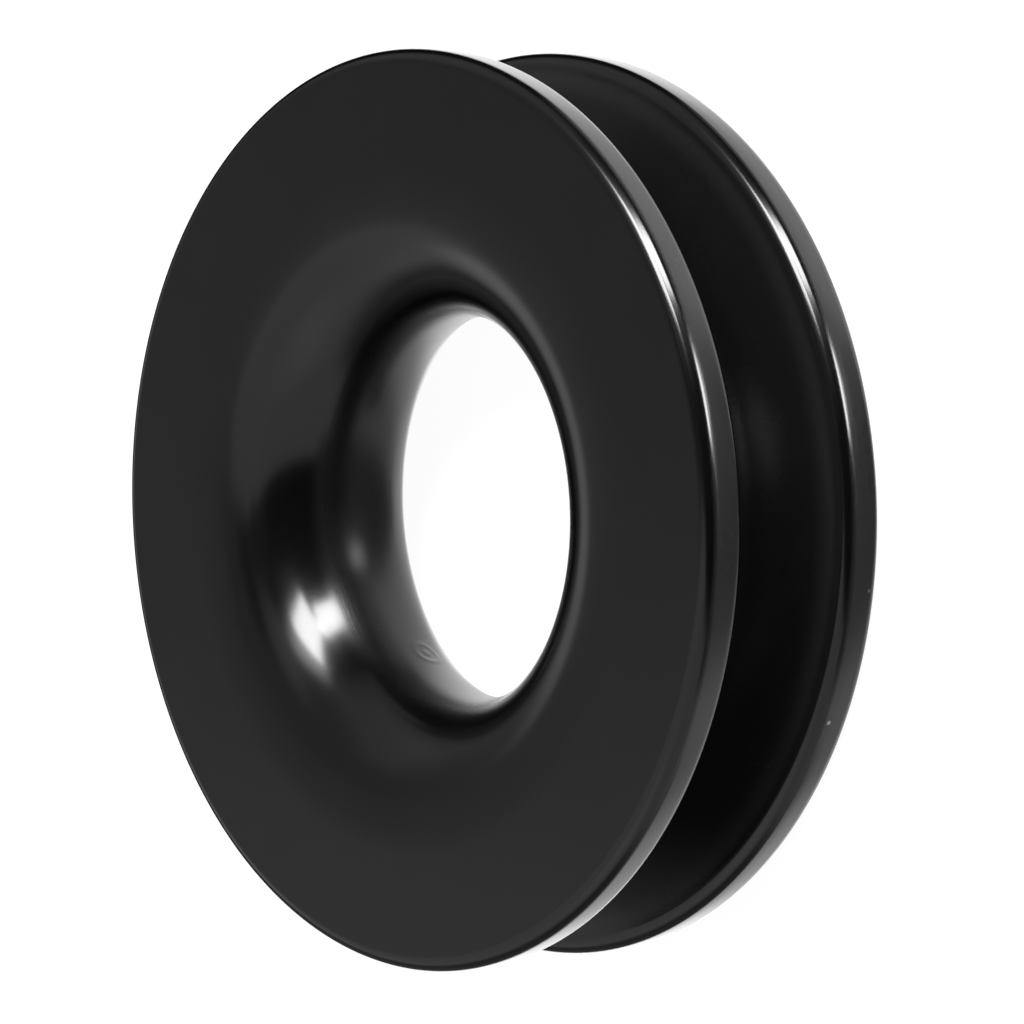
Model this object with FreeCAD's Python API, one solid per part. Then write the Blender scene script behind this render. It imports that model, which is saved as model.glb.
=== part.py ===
import FreeCAD, Part
import math
import os

# A recovery ring: one bar of aluminium turned on a lathe, then anodised black all over.
# A pulling rope runs in the groove between two equal flanges, and a soft shackle goes
# through the eye. Each edge that a rope or a hand can touch is rounded.
# Sizes are in millimetres and angles in degrees. The ring lies on its lower flange, with
# its axis along Z and the middle of that flat face at the origin.

# Driving dimensions
eye_diameter = 46.0        # the eye at its narrowest, halfway through the ring
web_thickness = 11.0       # metal between the eye and the bottom of the groove
groove_depth = 21.0        # from the rims in to the bottom of the groove
rope_seat_radius = 7.0     # the round bottom of the groove, which holds a rope twice as thick
groove_wall_flare = 4.0    # how far each groove wall leans outwards from square to the axis
rim_band_width = 2.1       # the straight band round each rim, between its rounded edges
rim_edge_radius = 1.75     # rounds both edges of each rim

# Radii of the eye, of the groove's bottom and of the rims, from the axis outwards
eye_radius = eye_diameter / 2
groove_radius = eye_radius + web_thickness
rim_radius = groove_radius + groove_depth

# Each groove wall is one straight line that touches the rope seat at its inner end and the
# rounded rim edge at its outer end. Those two curves and the lean of the wall set how far
# the rim edge stands from the middle of the ring, and so the width of the whole ring.
lean = math.radians(groove_wall_flare)
edge_to_seat_bottom = groove_depth - rim_edge_radius
edge_to_middle = (
    rim_edge_radius
    + rope_seat_radius * (1 - math.sin(lean))
    + edge_to_seat_bottom * math.sin(lean)
) / math.cos(lean)
half_width = edge_to_middle + rim_band_width + rim_edge_radius
ring_width = 2 * half_width

# The eye is rounded over its whole length, so that it meets both flat faces smoothly
eye_rounding = half_width


def point(radius, height):
    """A point of the section, by its distance from the axis and its height."""
    return FreeCAD.Vector(radius, 0.0, height)


def arc(centre, radius, first_angle, last_angle):
    """Start, middle and end of an arc of the section. Angles turn from outwards to upwards."""
    middle_angle = (first_angle + last_angle) / 2
    angles = [math.radians(a) for a in (first_angle, middle_angle, last_angle)]
    return [centre + point(radius * math.cos(a), radius * math.sin(a)) for a in angles]


def flange_rim(flange_side):
    """The two rounded edges of one rim, upwards. The side is -1 for the lower flange, 1 for the upper."""
    edge_centre_radius = rim_radius - rim_edge_radius
    groove_edge_height = half_width + flange_side * edge_to_middle
    face_edge_height = half_width + flange_side * (half_width - rim_edge_radius)
    groove_edge_turn = 90 - groove_wall_flare
    face_edge = arc(point(edge_centre_radius, face_edge_height), rim_edge_radius, flange_side * 90, 0)
    groove_edge = arc(point(edge_centre_radius, groove_edge_height), rim_edge_radius,
                      0, -flange_side * groove_edge_turn)
    if flange_side < 0:
        return [face_edge, groove_edge]
    return [groove_edge[::-1], face_edge[::-1]]


def rope_seat():
    """The round bottom of the groove, upwards, between the ends of the two leaning walls."""
    centre = point(groove_radius + rope_seat_radius, half_width)
    return arc(centre, rope_seat_radius, 270 - groove_wall_flare, 90 + groove_wall_flare)


def eye_wall():
    """The half-round wall of the eye, downwards, from the upper flat face to the lower one."""
    centre = point(eye_radius + eye_rounding, half_width)
    return arc(centre, eye_rounding, 90, 270)


def ring_section():
    """The section to one side of the axis: round stretches, joined by the straight lines between them."""
    arcs = flange_rim(-1) + [rope_seat()] + flange_rim(1) + [eye_wall()]
    edges = []
    for this_arc, next_arc in zip(arcs, arcs[1:] + arcs[:1]):
        edges.append(Part.Arc(*this_arc).toShape())
        edges.append(Part.LineSegment(this_arc[-1], next_arc[0]).toShape())
    return Part.Face(Part.Wire(edges))


def recovery_ring():
    """The section turned once round the axis."""
    return ring_section().revolve(FreeCAD.Vector(0, 0, 0), FreeCAD.Vector(0, 0, 1), 360)


ring = recovery_ring()
os.makedirs("parts", exist_ok=True)
ring.exportStep("parts/recovery_ring.step")
print("recovery_ring: outer diameter %.3f, width %.3f, volume %.1f, valid %s" % (
    2 * rim_radius, ring_width, ring.Volume, ring.isValid()))
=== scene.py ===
import math

import bpy
from mathutils import Euler, Matrix, Vector


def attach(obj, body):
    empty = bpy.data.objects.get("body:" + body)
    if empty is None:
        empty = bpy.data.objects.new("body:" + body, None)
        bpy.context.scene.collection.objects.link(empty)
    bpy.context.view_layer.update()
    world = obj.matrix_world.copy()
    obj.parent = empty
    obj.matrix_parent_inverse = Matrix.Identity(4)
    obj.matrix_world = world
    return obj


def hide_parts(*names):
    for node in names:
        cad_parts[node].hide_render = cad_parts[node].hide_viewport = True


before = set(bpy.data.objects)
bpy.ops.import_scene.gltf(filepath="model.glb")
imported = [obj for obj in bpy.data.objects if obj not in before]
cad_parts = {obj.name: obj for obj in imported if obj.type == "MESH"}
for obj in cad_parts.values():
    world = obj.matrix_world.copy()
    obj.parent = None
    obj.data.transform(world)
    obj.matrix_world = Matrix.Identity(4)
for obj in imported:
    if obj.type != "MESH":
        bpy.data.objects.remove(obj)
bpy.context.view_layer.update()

# The photograph was taken with a long lens from over half a metre, looking down on the ring
# at 40 degrees to the floor. The camera was turned on its side, so the ring's axis, which
# points up here, points to the left of the picture.
LENS = 159.9
LENS_PLACE = (-0.000744, -0.422599, 0.366572)
LENS_TURN = (-3.4662, 49.6610, -94.5435)

camera = bpy.data.objects.new("camera", bpy.data.cameras.new("camera"))
bpy.context.scene.collection.objects.link(camera)
camera.data.lens = LENS
camera.data.clip_start = 0.05
camera.data.clip_end = 30.0
camera.location = LENS_PLACE
camera.rotation_euler = Euler([math.radians(degrees) for degrees in LENS_TURN])
bpy.context.scene.camera = camera
bpy.context.scene.view_settings.view_transform = "Standard"


# The ring is one piece turned from aluminium bar: two flanges, a groove for a 14 mm rope round
# the outside, and an eye rounded over its whole width. Every edge is turned to a full radius,
# and polishing has left a long, very slight round where the flat faces run down into the eye.
RIM_RADIUS = 0.055
GROOVE_RADIUS = 0.034
EYE_RADIUS = 0.023
ROPE_SEAT = 0.007
RIM_EDGE = 0.00175
RIM_BAND = 0.0021
WALL_FLARE = math.radians(4.0)
WALL_RISE = RIM_RADIUS - GROOVE_RADIUS - RIM_EDGE
EDGE_TO_MIDDLE = (
    RIM_EDGE + ROPE_SEAT * (1 - math.sin(WALL_FLARE)) + WALL_RISE * math.sin(WALL_FLARE)
) / math.cos(WALL_FLARE)
HALF_WIDTH = EDGE_TO_MIDDLE + RIM_BAND + RIM_EDGE
POLISHED_ROUND = 0.060
POLISHED_TURN = math.radians(6.0)
EYE_ROUND = (
    HALF_WIDTH / math.cos(POLISHED_TURN) - POLISHED_ROUND * (1 / math.cos(POLISHED_TURN) - 1)
)
FACE_INNER = EYE_RADIUS + EYE_ROUND + (POLISHED_ROUND - EYE_ROUND) * math.sin(POLISHED_TURN)
FACE_OUTER = RIM_RADIUS - RIM_EDGE
STRIP = 0.0002
SAME_POINT = 1e-6
FLAT_STEPS, BAND_STEPS, ROUND_STEPS, EDGE_STEPS, SEAT_STEPS, EYE_STEPS = 8, 2, 8, 12, 36, 56
STEPS_ROUND_THE_AXIS = 360


def only(obj):
    """Makes obj the only selected and the active object."""
    bpy.ops.object.select_all(action="DESELECT")
    obj.select_set(True)
    bpy.context.view_layer.objects.active = obj


def draw_line(radius, height, steps=1):
    """Draws on in a straight line from the selected point to this radius and height."""
    mesh = bpy.context.edit_object.data
    bpy.context.edit_object.update_from_editmode()
    start = next(v.co.copy() for v in mesh.vertices if v.select)
    move = (Vector((radius, 0, height)) - start) / steps
    for _ in range(steps):
        bpy.ops.mesh.extrude_region_move(TRANSFORM_OT_translate={"value": move})


def draw_arc(centre, sweep, steps):
    """Draws on from the selected point round a centre (radius, height), by sweep degrees."""
    bpy.ops.mesh.spin(
        steps=steps,
        angle=math.radians(sweep),
        center=(centre[0], 0, centre[1]),
        axis=(0, 1, 0),
    )


bpy.ops.object.select_all(action="DESELECT")
bpy.ops.mesh.primitive_plane_add(size=0.001, location=(FACE_INNER, 0, 2 * HALF_WIDTH))
ring = bpy.context.object
ring.name = "turned_ring"
bpy.ops.object.transform_apply(location=True, rotation=True, scale=True)
bpy.ops.object.mode_set(mode="EDIT")
bpy.ops.mesh.select_all(action="SELECT")
bpy.ops.mesh.merge(type="CENTER")

edge_angle = 90.0 - math.degrees(WALL_FLARE)
round_angle = math.degrees(POLISHED_TURN)
seat_centre = (GROOVE_RADIUS + ROPE_SEAT, HALF_WIDTH)
upper, lower = HALF_WIDTH + EDGE_TO_MIDDLE, HALF_WIDTH - EDGE_TO_MIDDLE
wall_in = GROOVE_RADIUS + ROPE_SEAT * (1 - math.sin(WALL_FLARE))
wall_half = ROPE_SEAT * math.cos(WALL_FLARE)
wall_out = FACE_OUTER + RIM_EDGE * math.sin(-WALL_FLARE)
wall_half_out = EDGE_TO_MIDDLE - RIM_EDGE * math.cos(WALL_FLARE)

# the section, drawn from the top of the eye outwards and back below; a narrow strip at both
# ends of each flat face keeps its shading flat
draw_line(FACE_INNER + STRIP, 2 * HALF_WIDTH)
draw_line(FACE_OUTER - STRIP, 2 * HALF_WIDTH, FLAT_STEPS)
draw_line(FACE_OUTER, 2 * HALF_WIDTH)
draw_arc((FACE_OUTER, 2 * HALF_WIDTH - RIM_EDGE), -90, EDGE_STEPS)
draw_line(RIM_RADIUS, upper, BAND_STEPS)
draw_arc((FACE_OUTER, upper), -edge_angle, EDGE_STEPS)
draw_line(wall_in, HALF_WIDTH + wall_half, FLAT_STEPS)
draw_arc(seat_centre, 2 * edge_angle, SEAT_STEPS)
draw_line(wall_out, HALF_WIDTH - wall_half_out, FLAT_STEPS)
draw_arc((FACE_OUTER, lower), -edge_angle, EDGE_STEPS)
draw_line(RIM_RADIUS, RIM_EDGE, BAND_STEPS)
draw_arc((FACE_OUTER, RIM_EDGE), -90, EDGE_STEPS)
draw_line(FACE_OUTER - STRIP, 0)
draw_line(FACE_INNER + STRIP, 0, FLAT_STEPS)
draw_line(FACE_INNER, 0)
draw_arc((FACE_INNER, POLISHED_ROUND), -round_angle, ROUND_STEPS)
draw_arc((EYE_RADIUS + EYE_ROUND, HALF_WIDTH), 2 * round_angle - 180, EYE_STEPS)
draw_arc((FACE_INNER, 2 * HALF_WIDTH - POLISHED_ROUND), -round_angle, ROUND_STEPS)

# turned once round the axis, which points up
bpy.ops.mesh.select_all(action="SELECT")
bpy.ops.mesh.remove_doubles(threshold=SAME_POINT)
bpy.ops.mesh.spin(
    steps=STEPS_ROUND_THE_AXIS, angle=2 * math.pi, center=(0, 0, 0), axis=(0, 0, 1)
)
bpy.ops.mesh.select_all(action="SELECT")
bpy.ops.mesh.remove_doubles(threshold=SAME_POINT)
bpy.ops.mesh.normals_make_consistent(inside=False)
bpy.ops.object.mode_set(mode="OBJECT")
only(ring)
bpy.ops.object.shade_smooth()


def new_material(name):
    """A material with an empty node tree, that tree, and its output node."""
    material = bpy.data.materials.new(name)
    material.use_nodes = True
    material.node_tree.nodes.clear()
    output = material.node_tree.nodes.new("ShaderNodeOutputMaterial")
    return material, material.node_tree, output


def put(tree, kind, settings=None, **inputs):
    """Adds a node; each input is a value, or the output of another node to link from.

    An input is named as the node names it, or by its number, as in i0 for the first.
    """
    node = tree.nodes.new(kind)
    for name, value in (settings or {}).items():
        setattr(node, name, value)
    for name, value in inputs.items():
        number = name[1:]
        slot = node.inputs[int(number) if number.isdigit() else name.replace("_", " ")]
        if isinstance(value, bpy.types.NodeSocket):
            tree.links.new(value, slot)
        else:
            slot.default_value = value
    return node.outputs[0]


def sums(tree, operation, *values):
    """A math node on numbers or on the outputs of other nodes."""
    inputs = {f"i{number}": value for number, value in enumerate(values)}
    return put(tree, "ShaderNodeMath", {"operation": operation}, **inputs)


def plus(tree, *values):
    """The sum of several numbers or outputs."""
    total = values[0]
    for value in values[1:]:
        total = sums(tree, "ADD", total, value)
    return total


def times(tree, *values):
    """The product of several numbers or outputs."""
    product = values[0]
    for value in values[1:]:
        product = sums(tree, "MULTIPLY", product, value)
    return product


def ramp(tree, value, start, end, low=0.0, high=1.0):
    """Low up to start, high from end, and smooth between them."""
    return put(
        tree,
        "ShaderNodeMapRange",
        {"interpolation_type": "SMOOTHSTEP"},
        Value=value,
        From_Min=start,
        From_Max=end,
        To_Min=low,
        To_Max=high,
    )


def spot(tree, place, centre, size):
    """1 at a small place on the ring and 0 a little further off."""
    away = tree.nodes.new("ShaderNodeVectorMath")
    away.operation = "DISTANCE"
    tree.links.new(place, away.inputs[0])
    away.inputs[1].default_value = centre
    return ramp(tree, away.outputs["Value"], 0.6 * size, size, 1.0, 0.0)


# how pale the black is, how dull, and how deep its tool marks are, on each part of the ring
BLACK, CLOUD_PALE, WALL_PALE, LIP_PALE, BAND_PALE = 0.0022, 0.0012, 0.005, 0.008, 0.003
NICK_PALE, SPECK_PALE = 0.8, 0.3
COOL = 1.03
DULL_LEAST, DULL_MOST, WALL_DULL, BAND_DULL = 0.15, 0.18, 0.10, 0.12
FACE_CUT, BAND_CUT, BORE_CUT = 0.10, 0.5, 2.5
BAND_GRAIN, SMUDGE_DEPTH = 0.8, 12.0
MARK_DEPTH, MARK_STRENGTH = 0.00001, 0.35
SEAL_DULL = 0.25
GLOSS = 1.7

# where the photograph shows blemishes: a nick and two specks on the rims, a smudge in the bore
NICK, NICK_SIZE = (-0.02671, -0.04808, 0.00369), 0.00035
SPECKS, SPECK_SIZE = ((-0.01180, -0.05372, 0.00177), (0.01165, -0.05344, 0.00077)), 0.00022
SMUDGE = (-0.01766, 0.01510, 0.01100)
SMUDGE_RING, SMUDGE_HOLLOW, SMUDGE_DOT = 0.0026, 0.0017, 0.0007

anodised, tree, output = new_material("black_anodised_turned")
place = tree.nodes.new("ShaderNodeTexCoord").outputs["Object"]
axes = tree.nodes.new("ShaderNodeSeparateXYZ")
tree.links.new(place, axes.inputs[0])
across = [sums(tree, "POWER", axes.outputs[axis], 2.0) for axis in "XY"]
radius = sums(tree, "SQRT", plus(tree, *across))
off_middle = sums(tree, "ABSOLUTE", sums(tree, "SUBTRACT", axes.outputs["Z"], HALF_WIDTH))

# the turned rim bands, the groove, its walls and their outer ends, and the bore keep a duller
# finish than the polished faces
band = ramp(tree, radius, RIM_RADIUS - 0.00012, RIM_RADIUS - 0.00002)
groove = times(
    tree,
    ramp(tree, radius, GROOVE_RADIUS - 0.005, GROOVE_RADIUS - 0.003),
    ramp(tree, off_middle, EDGE_TO_MIDDLE, EDGE_TO_MIDDLE + 0.0003, 1.0, 0.0),
)
walls = times(tree, groove, ramp(tree, radius, FACE_OUTER - 0.001, FACE_OUTER, 1.0, 0.0))
lip = times(
    tree,
    groove,
    ramp(tree, radius, FACE_OUTER - 0.004, FACE_OUTER - 0.001),
    ramp(tree, radius, FACE_OUTER + 0.0002, FACE_OUTER + 0.0010, 1.0, 0.0),
)
bore = ramp(tree, radius, EYE_RADIUS + 0.0008, EYE_RADIUS + 0.0022, 1.0, 0.0)
nick = spot(tree, place, NICK, NICK_SIZE)
speck = plus(tree, *[spot(tree, place, centre, SPECK_SIZE) for centre in SPECKS])
smudge, hollow, dot = [
    spot(tree, place, SMUDGE, size) for size in (SMUDGE_RING, SMUDGE_HOLLOW, SMUDGE_DOT)
]
swirl = plus(tree, sums(tree, "SUBTRACT", smudge, hollow), dot)

# tool marks run round the axis, so their pattern is drawn in radius and height, in millimetres
turned = put(
    tree,
    "ShaderNodeCombineXYZ",
    X=times(tree, radius, 1000.0),
    Y=times(tree, axes.outputs["Z"], 1000.0),
)
marks = put(tree, "ShaderNodeTexNoise", Vector=turned, Scale=4.5, Detail=3.0, Roughness=0.6)
grain = put(tree, "ShaderNodeTexNoise", Vector=place, Scale=9000.0, Detail=2.0, Roughness=0.6)
cloud = put(tree, "ShaderNodeTexNoise", Vector=place, Scale=90.0, Detail=3.0, Roughness=0.5)

tone = plus(
    tree,
    BLACK,
    times(tree, cloud, CLOUD_PALE),
    times(tree, walls, WALL_PALE),
    times(tree, lip, LIP_PALE),
    times(tree, band, ramp(tree, grain, 0.3, 0.7, 0.7, 1.3), BAND_PALE),
    times(tree, nick, NICK_PALE),
    times(tree, speck, SPECK_PALE),
)
rough = plus(
    tree,
    ramp(tree, cloud, 0.3, 0.7, DULL_LEAST, DULL_MOST),
    times(tree, walls, WALL_DULL),
    times(tree, plus(tree, band, bore), BAND_DULL),
)
cut = plus(tree, FACE_CUT, times(tree, band, BAND_CUT), times(tree, bore, BORE_CUT))
height = plus(
    tree,
    times(tree, marks, cut),
    times(tree, band, grain, BAND_GRAIN),
    times(tree, swirl, SMUDGE_DEPTH),
)
bump = put(
    tree, "ShaderNodeBump", Height=height, Strength=MARK_STRENGTH, Distance=MARK_DEPTH
)
colour = put(
    tree, "ShaderNodeCombineColor", Red=tone, Green=tone, Blue=times(tree, tone, COOL)
)
shader = tree.nodes.new("ShaderNodeBsdfPrincipled")
for source, name in (
    (colour, "Base Color"),
    (rough, "Roughness"),
    (bump, "Normal"),
    (band, "Coat Weight"),
):
    tree.links.new(source, shader.inputs[name])
shader.inputs["Coat Roughness"].default_value = SEAL_DULL
shader.inputs["IOR"].default_value = GLOSS
tree.links.new(shader.outputs["BSDF"], output.inputs["Surface"])
ring.data.materials.clear()
ring.data.materials.append(anodised)
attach(ring, "root")
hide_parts("recovery_ring")


# The ring lies on a plain white sheet, larger than any view of it. The camera sees the sheet
# as white paper under even light, and the ring's own shade still falls on it.
SHEET_SIZE = 8.0
SHEET_GREY = (0.2, 0.2, 0.2, 1)
PLAIN_WHITE = (1, 1, 1, 1)
SHEET_WHITE = 0.96

bpy.ops.object.select_all(action="DESELECT")
bpy.ops.mesh.primitive_plane_add(size=SHEET_SIZE, location=(0, 0, 0))
floor = bpy.context.object
floor.name = "floor"
floor.visible_glossy = False
sheet, tree, output = new_material("white_sheet")
paper = tree.nodes.new("ShaderNodeBsdfPrincipled")
paper.inputs["Base Color"].default_value = SHEET_GREY
paper.inputs["Roughness"].default_value = 1.0
paper.inputs["Specular IOR Level"].default_value = 0.0
seen_by = tree.nodes.new("ShaderNodeLightPath").outputs
glow = times(tree, seen_by["Is Camera Ray"], SHEET_WHITE)
paper.inputs["Emission Color"].default_value = PLAIN_WHITE
tree.links.new(glow, paper.inputs["Emission Strength"])
tree.links.new(paper.outputs["BSDF"], output.inputs["Surface"])
floor.data.materials.append(sheet)


# The room round the ring: a pale wall on the left of the lens, a dark gap behind the lens, a
# grey far side and a white table below, all out of the picture and seen only in the finish.
# Bearings are degrees round the axis, from the lens side towards the top of the picture.
world = bpy.data.worlds.new("studio")
bpy.context.scene.world = world
world.use_nodes = True
world.cycles.sampling_method = "NONE"
tree = world.node_tree
tree.nodes.clear()
direction = tree.nodes.new("ShaderNodeTexCoord").outputs["Generated"]
parts = tree.nodes.new("ShaderNodeSeparateXYZ")
tree.links.new(direction, parts.inputs[0])
east, south = parts.outputs["X"], times(tree, parts.outputs["Y"], -1.0)
elevation = times(tree, sums(tree, "ARCSINE", parts.outputs["Z"]), 180 / math.pi)
bearing = times(tree, sums(tree, "ARCTAN2", east, south), 180 / math.pi)


def screen(tone, bearings, heights, soft):
    """A screen of this brightness between two bearings and two elevations.

    Its edges fade over the given degrees: at the first and second bearing, below and above.
    """
    middle, half = sum(bearings) / 2, (bearings[1] - bearings[0]) / 2
    turned = sums(tree, "WRAP", sums(tree, "SUBTRACT", bearing, middle), 180.0, -180.0)
    centred = sums(tree, "SUBTRACT", elevation, sum(heights) / 2)
    tall = (heights[1] - heights[0]) / 2
    seen = tone
    for value, size, sides in ((turned, half, soft[:2]), (centred, tall, soft[2:])):
        for side, fades in ((times(tree, value, -1.0), sides[0] / 2), (value, sides[1] / 2)):
            seen = times(tree, ramp(tree, side, size - fades, size + fades, 1.0, 0.0), seen)
    return seen


screens = [
    # pale wall on the left of the lens, brightest opposite the lamps
    screen(0.40, (-178, -138), (14, 49), (26, 24, 14, 12)),
    screen(0.40, (-177, -138), (49, 87), (12, 24, 12, 6)),
    screen(0.42, (-138, -80), (17, 87), (24, 24, 22, 6)),
    screen(0.40, (-80, -31), (18, 87), (24, 8, 16, 6)),
    screen(0.42, (-80, -42), (-22, 18), (24, 12, 16, 16)),
    screen(0.11, (-165, -80), (-28, 18), (20, 24, 8, 30)),
    screen(0.12, (-125, -82), (34, 58), (30, 30, 20, 24)),
    # grey far side and the wall on the right
    screen(0.42, (172, 197), (9, 25), (10, 12, 10, 8)),
    screen(0.165, (88, 178), (2, 68), (18, 14, 14, 16)),
    screen(0.10, (100, 150), (10, 40), (20, 20, 14, 14)),
    screen(0.28, (84, 132), (58, 76), (30, 30, 10, 10)),
    screen(0.05, (-31, 178), (74, 130), (12, 12, 12, 12)),
    # white table below, with the dark gap in front
    screen(0.80, (42, 200), (-130, -30), (24, 24, 12, 8)),
    screen(0.70, (118, 178), (-56, -30), (26, 26, 14, 6)),
    screen(0.40, (42, 98), (-28, -9), (20, 16, 14, 10)),
    screen(0.85, (-160, -90), (-130, -31), (30, 34, 16, 8)),
    screen(0.95, (-178, -130), (-56, -34), (26, 26, 12, 8)),
    screen(0.38, (-96, -62), (-130, -35), (26, 20, 16, 14)),
    screen(0.55, (-62, -44), (-130, -22), (20, 26, 16, 16)),
    screen(0.20, (-44, 42), (-30, 12), (16, 24, 40, 40)),
    screen(0.12, (-44, 42), (-130, -30), (20, 24, 20, 20)),
    # small lamp low down, its faint glint on the table, and the light beside the upper lamp
    screen(15.0, (12.0, 30.5), (-10, 4), (3, 3, 4, 4)),
    screen(7.0, (19, 27), (-27, -17), (4, 4, 4, 4)),
    screen(2.8, (76, 93), (42, 62), (14, 14, 8, 8)),
]
seen_by = tree.nodes.new("ShaderNodeLightPath").outputs
white_for_camera = tree.nodes.new("ShaderNodeMix")
white_for_camera.data_type = "FLOAT"
tree.links.new(seen_by["Is Camera Ray"], white_for_camera.inputs[0])
tree.links.new(plus(tree, *screens), white_for_camera.inputs[2])
white_for_camera.inputs[3].default_value = 1.0
background = tree.nodes.new("ShaderNodeBackground")
background.inputs["Color"].default_value = PLAIN_WHITE
tree.links.new(white_for_camera.outputs[0], background.inputs["Strength"])
surroundings = tree.nodes.new("ShaderNodeOutputWorld")
tree.links.new(background.outputs[0], surroundings.inputs["Surface"])

# Two oblong soft lamps, one above the other, stand to the right of the lens, tipped a little.
# They give the bright streaks in the rounded edges and the double highlight in the eye.
# A ray that meets the ring once reaches them at a depth below ONE_MIRROR, and others do not.
LAMP_DISTANCE = 1.0
ONE_MIRROR = 2.5


def soft_lamp(name, bearing, height, wide, tall, tilt, brightness):
    """An area lamp that looks at the ring, its size given in degrees as the ring sees it.

    It shows in the finish only straight, not by way of a second surface of the ring.
    """
    light = bpy.data.lights.new(name, "AREA")
    light.shape = "RECTANGLE"
    light.size = 2 * LAMP_DISTANCE * math.tan(math.radians(wide / 2))
    light.size_y = 2 * LAMP_DISTANCE * math.tan(math.radians(tall / 2))
    light.energy = brightness * math.pi * light.size * light.size_y
    light.cycles.max_bounces = 0
    light.use_nodes = True
    glow = light.node_tree.nodes["Emission"]
    mirrors = light.node_tree.nodes.new("ShaderNodeLightPath").outputs["Ray Depth"]
    straight = sums(light.node_tree, "LESS_THAN", mirrors, ONE_MIRROR)
    light.node_tree.links.new(straight, glow.inputs["Strength"])
    lamp = bpy.data.objects.new(name, light)
    bpy.context.scene.collection.objects.link(lamp)
    turn, rise = math.radians(bearing), math.radians(height)
    flat = math.cos(rise)
    back = Vector((math.sin(turn) * flat, -math.cos(turn) * flat, math.sin(rise)))
    lamp.location = Vector((0, 0, HALF_WIDTH)) + LAMP_DISTANCE * back
    facing = back.to_track_quat("Z", "Y").to_matrix() @ Matrix.Rotation(math.radians(tilt), 3, "Z")
    lamp.rotation_euler = facing.to_euler()
    lamp.visible_camera = False


soft_lamp("lower_lamp", 54.5, 23.4, wide=15.5, tall=26.8, tilt=-15.2, brightness=16.0)
soft_lamp("upper_lamp", 65.8, 47.2, wide=19.5, tall=21.8, tilt=-56.5, brightness=15.0)
